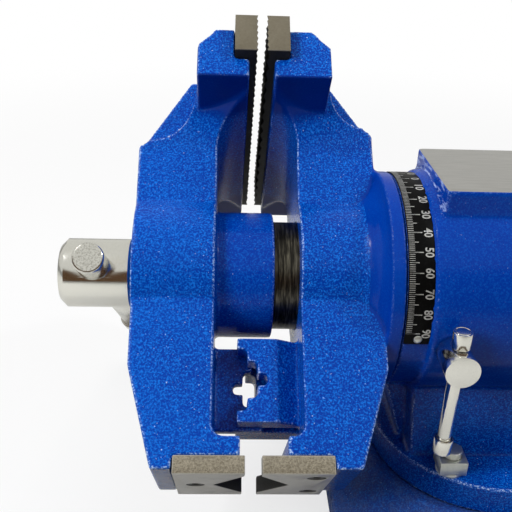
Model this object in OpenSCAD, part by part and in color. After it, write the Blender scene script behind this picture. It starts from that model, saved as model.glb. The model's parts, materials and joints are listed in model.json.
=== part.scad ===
// Multipurpose bench vise: a swivel base, an upright body with an anvil, and a head that turns
// about the spindle axis and carries flat jaws on one side, V plates and toothed pipe jaws on the other.
// X runs along the spindle from the handle to the anvil, Z is up, and the swivel axis stands at the origin.

/* [Pose] */
// Lean of the rotating head from upright, degrees
head_tilt = 52; // [0:1:90]
// Turn of the spindle's cross handle, degrees
handle_spin = 50; // [0:1:80]
// Opening between the two flat jaw plates
jaw_gap = 4.4; // [4.2:0.1:6]

/* [Flat jaws] */
// Width of the flat jaw plates
jaw_w = 152; // [146:1:165]
// Height of a jaw plate
plate_h = 21.6; // [20:0.1:23]
// Thickness of a jaw plate
plate_t = 11.2; // [10.5:0.1:12]
// Serration teeth across a jaw plate
plate_teeth = 17; // [12:1:20]
// Depth of the serration
tooth_depth = 1.6; // [1:0.1:1.8]
// Height of the spindle axis below the jaw plates' lower edge
ledge_w = 84.8; // [83:0.1:87]

/* [Arms] */
// Thickness of an arm across the vise
arm_t = 61; // [58:1:64]
// Distance from the jaw face line to the moving arm's inner face
front_in_x = 21.2; // [20.6:0.1:22]
// Distance from the jaw face line to the fixed arm's inner face
rear_in_x = 19.8; // [19:0.1:20.4]
// Radius of the round hub on each arm
hub_r = 40; // [38:0.5:42]
// Drop from the spindle axis to the arms' feet
foot_w = 104.4; // [103.5:0.1:106]

/* [V plates] */
// Thickness of a V plate
vee_t = 8; // [7:0.1:9]
// Half width of the V mouth
vee_mouth = 24; // [18:0.5:26]
// Angle of the V, degrees
vee_angle = 120; // [110:1:130]

/* [Pipe jaws] */
// Thickness of the moving pipe jaw, which runs between two cheeks
pipe_t = 8; // [6:0.5:10]
// Thickness of each cheek of the fixed pipe jaw
cheek_t = 12; // [8:0.5:14]
// Steps on each flank of a pipe jaw
pipe_steps = 3; // [2:1:3]

/* [Slide and spindle] */
// Outer diameter of the slide tube
tube_d = 55.8; // [54:0.2:56.4]
// Inner diameter of the slide tube
tube_bore_d = 42; // [40:0.5:44]
// Diameter of the spindle's eyed head
spindle_head_d = 35.4; // [33:0.2:37]
// Outside diameter of the spindle thread
thread_d = 22; // [20:0.5:24]
// Length of the cross handle
handle_len = 200; // [170:1:230]
// Diameter of the cross handle
handle_d = 12; // [10:0.5:13]
// Diameter of the handle knobs
knob_d = 15.6; // [14.5:0.1:18]

/* [Body] */
// Height of the spindle axis above the bench
axis_h = 136; // [134:1:142]
// Distance from the swivel axis to the jaw face line
jaw_reach = 133; // [131:0.5:136]
// Outer radius of the collar under the angle scale
collar_r = 54.6; // [54:0.1:55.2]
// Outer radius of the housing behind the scale
housing_r = 57; // [56.5:0.1:59]
// Height of the anvil face above the spindle axis
anvil_up = 61.5; // [59:0.5:63]
// Width of the anvil face
anvil_w = 62; // [54:1:66]
// Thickness of the neck across the vise
neck_t = 72; // [64:1:73]
// Radius of the turntable
turntable_r = 63; // [62.6:0.1:64]

/* [Base] */
// Side of the square base plate
base_side = 176; // [172:1:178]
// Thickness of the base plate at its edge
base_t = 15; // [13:0.5:17]
// Bench bolt spacing, both ways
bolt_spacing = 138; // [134:1:140]
// Bench bolt hole diameter
bolt_hole_d = 12; // [10:0.5:13]

/* [Hidden] */
$fn = 64;

// working clearance between curved faces, play round screw shanks and pins, a thin overlap for clean
// joins, an overshoot for cuts that run out of a face, and a length past any edge
slack = 0.3;
play = 0.1;
eps = 0.05;
over = 1;
far = 300;

// flat jaw block, measured up from the spindle axis
plate_x0 = jaw_gap / 2;
plate_x1 = plate_x0 + plate_t;
plate_top = ledge_w + plate_h;
block_in = 6.2;
ledge_h = 11;
block_under = ledge_w - ledge_h;
plate_proud = 4;
block_top = plate_top - plate_proud;
plate_overhang = 6;
block_hw = jaw_w / 2 - plate_overhang;
front_block_out = 31.8;
rear_block_out = 34;
block_chamfer_x = 9;
block_chamfer_w = 10;
scoop_r = 37;
scoop_lean = 25;
arm_hw = arm_t / 2;
throat_drop = 1;
jaw_screw_v = 46;
jaw_screw_w = (ledge_w + plate_top) / 2;
jaw_screw_r = 3.9;
jaw_screw_head_r = 6.4;
jaw_screw_head_h = 5.6;
jaw_screw_len = 22;
jaw_screw_hex_r = 3.4;
jaw_screw_hex_h = 3.4;
teeth_rows = 6;
row_depth = 0.8;

// arm outlines
front_shoulder = [62, 58.6];
rear_shoulder = [60, 67.7];
front_knee = [60, -58.6];
rear_knee = [59, -60];
front_foot_x = 47.5;
rear_foot_x = 44.8;
front_lip_x = 8.8;
rear_lip_x = 12.3;
lip_w = -90;
lip_r = 5;
flare_run = 6;
flare_rise = 4;
flare_root = 2;
rib_inset = 2;
rib_hw = arm_hw - rib_inset;
rib_out = 4.5;
rib_root = 5;
rib_low = 1;

// V plates
vee_proud = 2;
seat_w = -foot_w + vee_t - vee_proud;
front_vee = [-37.9, -6.6];
rear_vee = [0.8, 32.6];
vee_side = 0.4;
vee_seat_slack = 0.4;
vee_screw_r = 2.9;
vee_head_r = 4.1;
vee_head_h = 3;
vee_head_sunk = 0.4;
vee_hex_r = 2.3;
vee_hex_h = 2;
vee_screw_len = 18;
front_vee_screw_x = -28.5;
rear_vee_screw_x = 25.5;
rear_vee_screw_v = 19;

// pipe jaws
pipe_gap = 1;
cheek_v0 = pipe_t / 2 + pipe_gap;
cheek_v1 = cheek_v0 + cheek_t;
cheek_slope_x = 9;
cheek_fall = 9.4;
far_cheek_more = 5;
pipe_drop = 1.3;
pipe_top = -40.5;
pipe_low = -81;
pipe_step_x = 4.8;
pipe_step_w = 5.9;
pipe_apex_h = 5.3;
rear_pipe_tip = -10;
front_pipe_tip = 2.6;

// slide tube, screw, nut
tube_r = tube_d / 2;
tube_bore_r = tube_bore_d / 2;
boss_wall = 4.6;
boss_r = tube_r + boss_wall;
boss_end = 7.6;
tube_root = -16;
tube_end = 206;
thread_r = thread_d / 2;
journal_step = 1;
journal_r = thread_r + journal_step;
spindle_tip = 200;
arm_out_x = 61;
washer_t = 2.4;
head_face = -arm_out_x - washer_t;
eye_x = -82;
eye_to_end = 18;
head_end = eye_x - eye_to_end;
head_chamfer = 1.6;
head_r = spindle_head_d / 2;
washer_seat_r = head_r + slack;
keeper_w = 9;
keeper_r = 17.5;
pin_r = 2.5;
pin_sunk = 0.5;
keeper_gap = 0.4;
keeper_x0 = tube_root + keeper_gap;
nut_x0 = 52;
nut_x1 = 92;
nut_r = tube_bore_r - slack;
key_r = 5;
key_x = 73.5;
key_short = 1.6;
key_in = thread_r + key_short;
key_slot = key_r + slack;
slot_over = 6;
slot_start = key_x - key_r - slot_over;

// handle
handle_r = handle_d / 2;
knob_r = knob_d / 2;
knob_len = 16;
knob_socket = 8;
knob_round = 1.4;
knob_rest = head_r + slack;
bar_len = handle_len - 2 * (knob_len - knob_socket);

// head shank and collar
shank_r = 44;
shank_end = 182;
scale_t = 0.8;
flange_r = collar_r + scale_t;
flange_x0 = 59.5;
flange_x1 = 66.2;
flange_scoop = 14;
bore_r = tube_r + slack;
retainer_x = shank_end;
retainer_t = 8;
retainer_gap = 0.2;
retainer_r = 52;
retainer_bolt_r = 36;
retainer_bolts_n = 4;
m6_r = 3;
m6_head_r = 5;
m6_room = 3;
m6_head_h = 6;
m6_len = 25;
m6_depth = m6_len - retainer_t + m6_room;
m6_hex_r = 2.9;

// angle scale
scale_x0 = 66.9;
scale_w = 12.7;
scale_reach = 96;
rivet_r = 1.7;
rivet_h = 0.9;
rivet_depth = 2;
rivet_deg = 93.2;

// body
collar_x0 = 66.5;
housing_x0 = scale_x0 + scale_w + slack;
housing_x1 = 212;
anvil_x0 = 84.5;
anvil_x1 = 205;
tail_drop = 7;
housing_bore_r = shank_r + slack;
counterbore_r = retainer_r + slack;
neck_hw = neck_t / 2;
neck_in = 30;
neck_front = [80, 84.5];
neck_back = [189, 184];
web_hw = 22;
web_top_x = 68.4;
web_top_w = 46;
web_foot_x = 81.5;
turntable_z0 = 31;
turntable_h = 16.5;
turntable_top = turntable_z0 + turntable_h;
foot_drop = axis_h - turntable_top;

// head lock
lock_from_jaw = 90;
lock_below = 8;
lock_x = lock_from_jaw - jaw_reach;
lock_z = axis_h - lock_below;
lock_r = 6;
lock_head_r = 8;
lock_eye_y = -66;
lock_head_y0 = -75;
lock_head_y1 = -57.6;
lock_bar_r = 3.4;
lock_bar_len = 68;
lock_knob_r = 4.6;
lock_knob_h = 8;
lock_bar_up = lock_head_r + lock_knob_h + slack;
shoe_t = 4;
shoe_gap = 0.2;

// swivel clamps and pivot
clamp_pos = [-30, -47];
clamp_r = 5;
clamp_ring_r = norm(clamp_pos);
clamp_slot = clamp_r + slack;
clamp_head_hw = 9;
clamp_head_h = 7;
clamp_washer_r = 7.4;
clamp_washer_t = 1.6;
clamp_nut_hw = 7;
clamp_nut_h = 8;
clamp_tip = 4;
channel_play = 1;
channel_hw = clamp_head_hw + channel_play;
channel_z0 = 10;
channel_z1 = 20;
entry_r = clamp_head_hw * sqrt(2) + slack;
pivot_r = 8;
pivot_head_r = 13.9;
pivot_head_h = 10;
pivot_head_z = 2;
pivot_washer_r = 15;
pivot_washer_t = 2.5;
pivot_len = 44;
pivot_room = 3;
pivot_top = pivot_head_z + pivot_head_h + pivot_len;
pocket_r = 17;

// base
base_corner = 18;
seat_r = 70;
skirt_in = 2;
skirt_r = base_side / 2 - skirt_in;
spot_r = 12;
spot_h = 1.5;
under_h = 7;
under_rim = 12;

// frames and shapes

module on_axis() {
    translate([-jaw_reach, 0, axis_h])
        children();
}

module in_head() {
    on_axis()
        rotate([-head_tilt, 0, 0])
            children();
}

module in_handle() {
    on_axis()
        rotate([handle_spin, 0, 0])
            children();
}

// round bar along X
module bar_x(r, x0, x1) {
    translate([x0, 0, 0])
        rotate([0, 90, 0])
            cylinder(r = r, h = x1 - x0);
}

// turned shape about X, drawn as [radius, position]
module turned() {
    rotate([0, 90, 0])
        rotate_extrude()
            children();
}

// outline in X and up, carried across the vise from v0 to v1
module across(v0, v1) {
    translate([0, v1, 0])
        rotate([90, 0, 0])
            linear_extrude(v1 - v0)
                children();
}

// outline across and up, carried along X from x0 to x1
module along(x0, x1) {
    translate([x0, 0, 0])
        rotate([90, 0, 90])
            linear_extrude(x1 - x0)
                children();
}

// jaw castings, drawn with X pointing outward from the jaw face line

module arm_outline(in_x, lip_x, shoulder, knee, foot_x, seat_x, block_out) {
    throat_r = in_x - block_in;
    throat_w = block_under - throat_drop - throat_r;
    flare_r = shoulder[0] - block_out - flare_run;
    flare_w = shoulder[1] + flare_r + flare_rise;
    difference() {
        polygon([
            [block_in, ledge_w],
            [block_out - flare_root, ledge_w],
            [block_out - flare_root, flare_w],
            [block_out + flare_r, flare_w],
            [block_out + flare_r, flare_w - flare_r],
            shoulder,
            knee,
            [foot_x, -foot_w],
            [seat_x, -foot_w],
            [seat_x, seat_w],
            [lip_x, seat_w],
            [lip_x, lip_w],
            [in_x - lip_r, lip_w],
            [in_x - lip_r, lip_w + lip_r],
            [in_x, lip_w + lip_r],
            [in_x, throat_w],
            [block_in, throat_w]
        ]);
        translate([block_out + flare_r, flare_w])
            circle(r = flare_r);
        translate([block_in, throat_w])
            circle(r = throat_r);
        translate([in_x - lip_r, lip_w + lip_r])
            circle(r = lip_r);
    }
}

// front view of an arm with the two scoops that widen it to the jaw block
module arm_front() {
    scoop_v = arm_hw + scoop_r;
    scoop_w = block_under - scoop_r;
    difference() {
        union() {
            translate([-arm_hw, -far])
                square([2 * arm_hw, 2 * far]);
            translate([-scoop_v, scoop_w])
                square([2 * scoop_v, far]);
        }
        translate([-scoop_v, scoop_w])
            circle(r = scoop_r);
        translate([scoop_v, scoop_w])
            circle(r = scoop_r);
    }
}

// rib behind the scoops, from the arm's shoulder to the top of the jaw block
module rib_outline(shoulder, block_out) {
    polygon([
        [block_out - rib_root, block_top - rib_low],
        [block_out + rib_out, block_top - rib_low],
        [shoulder[0] - rib_low, shoulder[1] - rib_low],
        [block_out - rib_root, shoulder[1] - rib_root]
    ]);
}

module block_outline(block_out) {
    polygon([
        [block_in, block_under],
        [block_in, ledge_w],
        [plate_x1, ledge_w],
        [plate_x1, block_top],
        [block_out - block_chamfer_x, block_top],
        [block_out, block_top - block_chamfer_w],
        [block_out, block_under]
    ]);
}

module jaw_casting(in_x, lip_x, shoulder, knee, foot_x, seat_x, block_out) {
    intersection() {
        across(-block_hw, block_hw)
            arm_outline(in_x, lip_x, shoulder, knee, foot_x, seat_x, block_out);
        translate([block_in, 0, block_under])
            rotate([0, -scoop_lean, 0])
                translate([0, 0, -block_under])
                    along(-far, far)
                        arm_front();
    }
    across(-block_hw, block_hw)
        block_outline(block_out);
    across(-rib_hw, rib_hw)
        rib_outline(shoulder, block_out);
}

// outline of a pipe jaw whose tip points to -X, with a stepped V mouth
module pipe_outline(tip, root, steps) {
    mid = (pipe_top + pipe_low) / 2;
    mouth = pipe_apex_h / 2 + pipe_step_w * (pipe_steps - 1);
    difference() {
        translate([tip, pipe_low])
            square([root - tip, pipe_top - pipe_low]);
        for (i = [1 : steps]) {
            half = mouth - pipe_step_w * (i - 1);
            translate([tip - eps, mid - half])
                square([i * pipe_step_x + eps, 2 * half]);
        }
    }
}

// what the slope takes off the near cheek on its way back to the arm
module cheek_slope(root) {
    translate([0, 0, -far])
        linear_extrude(2 * far)
            polygon([
                [cheek_slope_x, -cheek_v1],
                [root + over, cheek_fall - cheek_v1],
                [root + over, -cheek_v1 - over],
                [cheek_slope_x, -cheek_v1 - over]
            ]);
}

module jaw_screw_holes() {
    for (s = [-1, 1])
        translate([0, s * jaw_screw_v, jaw_screw_w])
            bar_x(jaw_screw_r, 0, plate_x0 + jaw_screw_len);
}

// jaw plate with pyramid teeth on its face, drawn with X pointing away from the face
module jaw_plate() {
    pitch_v = jaw_w / plate_teeth;
    pitch_w = plate_h / teeth_rows;
    root = plate_x0 + tooth_depth;
    row_root = plate_x0 + row_depth;
    difference() {
        intersection() {
            translate([0, 0, ledge_w])
                linear_extrude(plate_h)
                    polygon(concat(
                        [for (i = [0 : plate_teeth - 1]) each [
                            [plate_x0, -jaw_w / 2 + i * pitch_v],
                            [root, -jaw_w / 2 + (i + 0.5) * pitch_v]
                        ]],
                        [[plate_x0, jaw_w / 2], [plate_x1, jaw_w / 2], [plate_x1, -jaw_w / 2]]
                    ));
            across(-jaw_w / 2, jaw_w / 2)
                polygon(concat(
                    [for (i = [0 : teeth_rows - 1]) each [
                        [plate_x0, ledge_w + i * pitch_w],
                        [row_root, ledge_w + (i + 0.5) * pitch_w]
                    ]],
                    [[plate_x0, plate_top], [plate_x1, plate_top], [plate_x1, ledge_w]]
                ));
        }
        jaw_screw_holes();
        for (s = [-1, 1])
            translate([0, s * jaw_screw_v, jaw_screw_w])
                bar_x(jaw_screw_head_r + slack, 0, plate_x0 + tooth_depth + jaw_screw_head_h);
    }
}

module jaw_screws() {
    head_x = plate_x0 + tooth_depth;
    for (s = [-1, 1])
        translate([0, s * jaw_screw_v, jaw_screw_w])
            difference() {
                union() {
                    bar_x(jaw_screw_head_r, head_x, head_x + jaw_screw_head_h);
                    bar_x(jaw_screw_r - play, head_x, plate_x0 + jaw_screw_len - over);
                }
                translate([head_x - eps, 0, 0])
                    rotate([0, 90, 0])
                        cylinder(r = jaw_screw_hex_r, h = jaw_screw_hex_h, $fn = 6);
            }
}

// screw holes of a V plate, at [along, across] places
module vee_holes(places) {
    for (p = places)
        translate([p[0], p[1], seat_w - vee_t - eps]) {
            cylinder(r = vee_screw_r + play, h = vee_screw_len + over);
            cylinder(r = vee_head_r + play, h = vee_head_h + eps);
        }
}

module vee_screws(places) {
    for (p = places)
        translate([p[0], p[1], seat_w - vee_t + vee_head_sunk])
            difference() {
                union() {
                    cylinder(r = vee_head_r, h = vee_head_h - vee_head_sunk);
                    cylinder(r = vee_screw_r, h = vee_screw_len - over);
                }
                translate([0, 0, -eps])
                    cylinder(r = vee_hex_r, h = vee_hex_h, $fn = 6);
            }
}

// V plate from x0 to x1 whose notch opens at x_open
module vee_plate(x0, x1, x_open, places) {
    depth = vee_mouth / tan(vee_angle / 2);
    side = x_open == x1 ? -1 : 1;
    difference() {
        translate([x0, -arm_hw + vee_side, seat_w - vee_t])
            cube([x1 - x0, arm_t - 2 * vee_side, vee_t]);
        translate([0, 0, seat_w - vee_t - eps])
            linear_extrude(vee_t + 2 * eps)
                polygon([
                    [x_open - side * eps, -vee_mouth],
                    [x_open - side * eps, vee_mouth],
                    [x_open + side * depth, 0]
                ]);
        vee_holes(places);
    }
}

front_vee_places = [[front_vee_screw_x, 0]];
rear_vee_places = [[rear_vee_screw_x, -rear_vee_screw_v], [rear_vee_screw_x, rear_vee_screw_v]];

// base and body

module swivel_base() {
    color([0.03, 0.2, 0.6])
        difference() {
            union() {
                linear_extrude(base_t)
                    difference() {
                        square(base_side, center = true);
                        for (a = [0 : 90 : 270])
                            rotate(a)
                                translate([base_side / 2 - base_corner, base_side / 2 - base_corner])
                                    difference() {
                                        square(base_corner + over);
                                        circle(r = base_corner);
                                    }
                    }
                translate([0, 0, base_t - eps])
                    cylinder(r1 = skirt_r, r2 = seat_r, h = turntable_z0 - base_t + eps);
            }
            for (x = [-1, 1], y = [-1, 1])
                translate([x * bolt_spacing / 2, y * bolt_spacing / 2, -eps]) {
                    cylinder(d = bolt_hole_d, h = far);
                    translate([0, 0, base_t - spot_h])
                        cylinder(r = spot_r, h = far);
                }
            translate([0, 0, channel_z1 - eps])
                difference() {
                    cylinder(r = clamp_ring_r + clamp_slot, h = far);
                    translate([0, 0, -eps])
                        cylinder(r = clamp_ring_r - clamp_slot, h = far + over);
                }
            translate([0, 0, channel_z0])
                difference() {
                    cylinder(r = clamp_ring_r + channel_hw, h = channel_z1 - channel_z0);
                    translate([0, 0, -eps])
                        cylinder(r = clamp_ring_r - channel_hw, h = far);
                }
            translate([0, clamp_ring_r, channel_z0])
                cylinder(r = entry_r, h = far);
            translate([0, 0, -eps]) {
                cylinder(r = pivot_r + slack, h = far);
                cylinder(r = pocket_r, h = pivot_head_z + pivot_head_h + pivot_washer_t + eps);
            }
            translate([0, 0, -eps])
                difference() {
                    cylinder(r = base_side / 2 - under_rim, h = under_h + eps);
                    translate([0, 0, -eps])
                        cylinder(r = pocket_r + under_rim, h = far);
                }
        }
}

module clamp_places() {
    for (a = [0, 180])
        rotate(a)
            translate(clamp_pos)
                children();
}

module anvil_block() {
    on_axis()
        across(-anvil_w / 2, anvil_w / 2)
            polygon([
                [anvil_x0, 0],
                [anvil_x0, anvil_up],
                [anvil_x1, anvil_up],
                [housing_x1, anvil_up - tail_drop],
                [housing_x1, 0]
            ]);
}

module neck() {
    on_axis() {
        across(-neck_hw, neck_hw)
            polygon([
                [neck_front[0], -neck_in],
                [neck_front[1], -foot_drop - eps],
                [neck_back[1], -foot_drop - eps],
                [neck_back[0], -neck_in]
            ]);
        across(-web_hw, web_hw)
            polygon([
                [web_top_x, -neck_in],
                [web_top_x, -web_top_w],
                [web_foot_x, -foot_drop - eps],
                [web_foot_x + web_hw, -foot_drop - eps],
                [web_foot_x + web_hw, -neck_in]
            ]);
    }
}

module body() {
    color([0.03, 0.2, 0.6])
        difference() {
            union() {
                on_axis() {
                    bar_x(collar_r, collar_x0, housing_x0 + eps);
                    bar_x(housing_r, housing_x0, housing_x1);
                }
                anvil_block();
                neck();
                translate([0, 0, turntable_z0])
                    cylinder(r = turntable_r, h = turntable_h);
            }
            on_axis() {
                bar_x(housing_bore_r, 0, far);
                bar_x(counterbore_r, shank_end - retainer_gap, far);
            }
            translate([lock_x, -far, lock_z])
                rotate([-90, 0, 0])
                    cylinder(r = lock_r + slack, h = far);
            clamp_places()
                cylinder(r = clamp_slot, h = turntable_top + over);
            rivet_places(rivet_r, -rivet_depth - play);
            translate([0, 0, turntable_z0 - eps])
                cylinder(r = pivot_r, h = pivot_top - turntable_z0 + pivot_room);
        }
}

// rivets at both ends of the scale strip, from a depth inside the strip's face
module rivet_places(r, depth) {
    on_axis()
        for (a = [-rivet_deg, rivet_deg])
            rotate([a, 0, 0])
                translate([scale_x0 + scale_w / 2, 0, collar_r + depth])
                    cylinder(r = r, h = scale_t + rivet_h - depth);
}

module angle_scale() {
    reach = 2 * (collar_r + scale_t);
    color([0.04, 0.04, 0.04])
        difference() {
            on_axis()
                difference() {
                    bar_x(collar_r + scale_t, scale_x0, scale_x0 + scale_w);
                    bar_x(collar_r + slack, scale_x0 - over, scale_x0 + scale_w + over);
                    along(0, far)
                        polygon([
                            [0, 0],
                            [reach * sin(scale_reach), reach * cos(scale_reach)],
                            [0, -far],
                            [-reach * sin(scale_reach), reach * cos(scale_reach)]
                        ]);
                }
            rivet_places(rivet_r + play, -rivet_depth);
        }
}

module scale_rivets() {
    color([0.75, 0.75, 0.74])
        rivet_places(rivet_r - play, -rivet_depth);
}

module head_lock_screw() {
    color([0.7, 0.7, 0.68])
        translate([lock_x, 0, lock_z])
            difference() {
                rotate([90, 0, 0]) {
                    translate([0, 0, -lock_head_y1])
                        cylinder(r = lock_head_r, h = lock_head_y1 - lock_head_y0);
                    translate([0, 0, shank_r + shoe_t + 2 * shoe_gap])
                        cylinder(r = lock_r, h = -lock_eye_y - shank_r - shoe_t);
                }
                translate([0, lock_eye_y, -far / 2])
                    cylinder(r = lock_bar_r + slack, h = far);
            }
}

module lock_bar() {
    color([0.75, 0.75, 0.73])
        translate([lock_x, lock_eye_y, lock_z + lock_bar_up - lock_bar_len])
            cylinder(r = lock_bar_r, h = lock_bar_len);
}

module lock_knobs() {
    color([0.75, 0.75, 0.73])
        translate([lock_x, lock_eye_y, lock_z + lock_bar_up])
            for (z = [-lock_knob_h, -lock_bar_len])
                translate([0, 0, z])
                    difference() {
                        cylinder(r = lock_knob_r, h = lock_knob_h);
                        cylinder(r = lock_bar_r, h = far, center = true);
                    }
}

module clamp_shoe() {
    color([0.75, 0.6, 0.25])
        translate([lock_x, 0, lock_z])
            difference() {
                rotate([90, 0, 0])
                    cylinder(r = lock_r, h = shank_r + shoe_t + shoe_gap);
                translate([-far / 2 - lock_x - jaw_reach, 0, axis_h - lock_z])
                    bar_x(shank_r + shoe_gap, 0, far);
            }
}

module pivot_bolt() {
    color([0.3, 0.3, 0.3])
        translate([0, 0, pivot_head_z]) {
            cylinder(r = pivot_head_r, h = pivot_head_h, $fn = 6);
            cylinder(r = pivot_r - play, h = pivot_head_h + pivot_len);
        }
}

module pivot_washer() {
    color([0.6, 0.6, 0.58])
        translate([0, 0, pivot_head_z + pivot_head_h])
            difference() {
                cylinder(r = pivot_washer_r, h = pivot_washer_t);
                translate([0, 0, -over])
                    cylinder(r = pivot_r + slack, h = pivot_washer_t + 2 * over);
            }
}

module clamp_bolts() {
    color([0.3, 0.3, 0.3])
        clamp_places() {
            rotate(atan2(clamp_pos[1], clamp_pos[0]))
                translate([-clamp_head_hw, -clamp_head_hw, channel_z1 - clamp_head_h])
                    cube([2 * clamp_head_hw, 2 * clamp_head_hw, clamp_head_h]);
            translate([0, 0, channel_z1 - clamp_head_h])
                cylinder(
                    r = clamp_r,
                    h = turntable_top + clamp_washer_t + clamp_nut_h + clamp_tip - channel_z1 + clamp_head_h
                );
        }
}

module clamp_washers() {
    color([0.7, 0.7, 0.68])
        clamp_places()
            translate([0, 0, turntable_top])
                difference() {
                    cylinder(r = clamp_washer_r, h = clamp_washer_t);
                    translate([0, 0, -over])
                        cylinder(r = clamp_slot, h = clamp_washer_t + 2 * over);
                }
}

module clamp_nut(a) {
    color([0.6, 0.62, 0.58])
        rotate(a)
            translate([clamp_pos[0], clamp_pos[1], turntable_top + clamp_washer_t])
                difference() {
                    translate([-clamp_nut_hw, -clamp_nut_hw, 0])
                        cube([2 * clamp_nut_hw, 2 * clamp_nut_hw, clamp_nut_h]);
                    translate([0, 0, -over])
                        cylinder(r = clamp_slot, h = clamp_nut_h + 2 * over);
                }
}

module clamp_nut_near() {
    clamp_nut(0);
}

module clamp_nut_far() {
    clamp_nut(180);
}

// rotating head

// rim beside the scale, hollowed towards the arm's hub
module flange() {
    bar_x(flange_r, flange_x0, flange_x1);
    difference() {
        bar_x(hub_r + flange_scoop, flange_x0 - flange_scoop, flange_x0 + eps);
        turned()
            translate([hub_r + flange_scoop, flange_x0 - flange_scoop])
                circle(r = flange_scoop);
    }
}

module static_jaw() {
    cheek_root = rear_in_x + lip_r;
    color([0.03, 0.2, 0.6])
        in_head()
            difference() {
                union() {
                    jaw_casting(rear_in_x, rear_lip_x, rear_shoulder, rear_knee, rear_foot_x,
                        rear_vee[1] + vee_seat_slack, rear_block_out);
                    bar_x(hub_r, rear_in_x, flange_x1);
                    bar_x(shank_r, flange_x1 - eps, shank_end);
                    flange();
                    difference() {
                        across(-cheek_v1, -cheek_v0)
                            pipe_outline(rear_pipe_tip, cheek_root, pipe_steps);
                        cheek_slope(cheek_root);
                    }
                    across(cheek_v0, cheek_v1 + far_cheek_more)
                        pipe_outline(rear_pipe_tip, cheek_root, pipe_steps - 1);
                }
                bar_x(bore_r, 0, far);
                jaw_screw_holes();
                vee_holes(rear_vee_places);
                translate([key_x, 0, -far])
                    cylinder(r = key_r + play, h = far);
                retainer_places()
                    bar_x(m6_r, shank_end - m6_depth, shank_end + over);
            }
}

module retainer_places() {
    for (i = [0 : retainer_bolts_n - 1])
        rotate([(i + 0.5) * 360 / retainer_bolts_n, 0, 0])
            translate([0, 0, retainer_bolt_r])
                children();
}

module head_retainer() {
    color([0.3, 0.3, 0.3])
        in_head()
            difference() {
                bar_x(retainer_r, retainer_x, retainer_x + retainer_t);
                bar_x(bore_r + play, 0, far);
                retainer_places()
                    bar_x(m6_r + play, 0, far);
            }
}

module retainer_bolts() {
    head_x = retainer_x + retainer_t;
    color([0.15, 0.15, 0.15])
        in_head()
            retainer_places()
                difference() {
                    union() {
                        bar_x(m6_head_r, head_x, head_x + m6_head_h);
                        bar_x(m6_r - play, head_x - m6_len, head_x + eps);
                    }
                    translate([head_x + m6_head_h / 2, 0, 0])
                        rotate([0, 90, 0])
                            cylinder(r = m6_hex_r, h = m6_head_h, $fn = 6);
                }
}

module screw_nut() {
    color([0.7, 0.55, 0.25])
        in_head()
            difference() {
                bar_x(nut_r, nut_x0, nut_x1);
                bar_x(thread_r + slack, 0, far);
                translate([key_x, 0, -far])
                    cylinder(r = key_r + play, h = far);
            }
}

module nut_key() {
    color([0.4, 0.4, 0.4])
        in_head()
            translate([key_x, 0, -shank_r + slack])
                cylinder(r = key_r, h = shank_r - slack - key_in);
}

module rear_jaw_plate() {
    color([0.5, 0.47, 0.4])
        in_head()
            jaw_plate();
}

module rear_jaw_screws() {
    color([0.15, 0.15, 0.15])
        in_head()
            jaw_screws();
}

module rear_v_plate() {
    color([0.5, 0.47, 0.4])
        in_head()
            vee_plate(rear_vee[0], rear_vee[1], rear_vee[0], rear_vee_places);
}

module rear_v_screws() {
    color([0.15, 0.15, 0.15])
        in_head()
            vee_screws(rear_vee_places);
}

// moving jaw

module dynamic_jaw() {
    color([0.03, 0.2, 0.6])
        in_head()
            difference() {
                union() {
                    mirror([1, 0, 0])
                        jaw_casting(front_in_x, front_lip_x, front_shoulder, front_knee, front_foot_x,
                            -front_vee[0] + vee_seat_slack, front_block_out);
                    bar_x(hub_r, -arm_out_x, -front_in_x);
                    bar_x(boss_r, -front_in_x - eps, boss_end);
                    mirror([1, 0, 0])
                        across(-pipe_t / 2, pipe_t / 2)
                            translate([0, -pipe_drop])
                                pipe_outline(-front_pipe_tip, front_in_x + lip_r, pipe_steps);
                }
                bar_x(journal_r + slack, -far, far);
                bar_x(washer_seat_r, -far, -arm_out_x);
                bar_x(tube_r, tube_root, far);
                mirror([1, 0, 0])
                    jaw_screw_holes();
                vee_holes(front_vee_places);
            }
}

module slide_tube() {
    color([0.06, 0.06, 0.06])
        in_head()
            difference() {
                bar_x(tube_r, tube_root, tube_end);
                bar_x(tube_bore_r, tube_root - over, tube_end + over);
                translate([slot_start, -key_slot, -far])
                    cube([far, 2 * key_slot, far]);
            }
}

module front_jaw_plate() {
    color([0.5, 0.47, 0.4])
        in_head()
            mirror([1, 0, 0])
                jaw_plate();
}

module front_jaw_screws() {
    color([0.15, 0.15, 0.15])
        in_head()
            mirror([1, 0, 0])
                jaw_screws();
}

module front_v_plate() {
    color([0.5, 0.47, 0.4])
        in_head()
            vee_plate(front_vee[0], front_vee[1], front_vee[1], front_vee_places);
}

module front_v_screw() {
    color([0.15, 0.15, 0.15])
        in_head()
            vee_screws(front_vee_places);
}

module spindle() {
    color([0.75, 0.74, 0.7])
        in_handle()
            difference() {
                turned()
                    polygon([
                        [0, head_end],
                        [head_r - head_chamfer * 2, head_end],
                        [head_r, head_end + head_chamfer * 2],
                        [head_r, head_face - head_chamfer],
                        [head_r - head_chamfer, head_face],
                        [journal_r, head_face],
                        [journal_r, keeper_x0 + keeper_w],
                        [thread_r, keeper_x0 + keeper_w],
                        [thread_r, spindle_tip - head_chamfer],
                        [thread_r - head_chamfer, spindle_tip],
                        [0, spindle_tip]
                    ]);
                translate([eye_x, 0, -far / 2])
                    cylinder(r = handle_r + slack, h = far);
                translate([keeper_x0 + keeper_w / 2, 0, -far / 2])
                    cylinder(r = pin_r, h = far);
            }
}

module thrust_washer() {
    color([0.65, 0.65, 0.62])
        in_handle()
            difference() {
                bar_x(head_r - head_chamfer, head_face, -arm_out_x);
                bar_x(journal_r + play, -far, far);
            }
}

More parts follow.
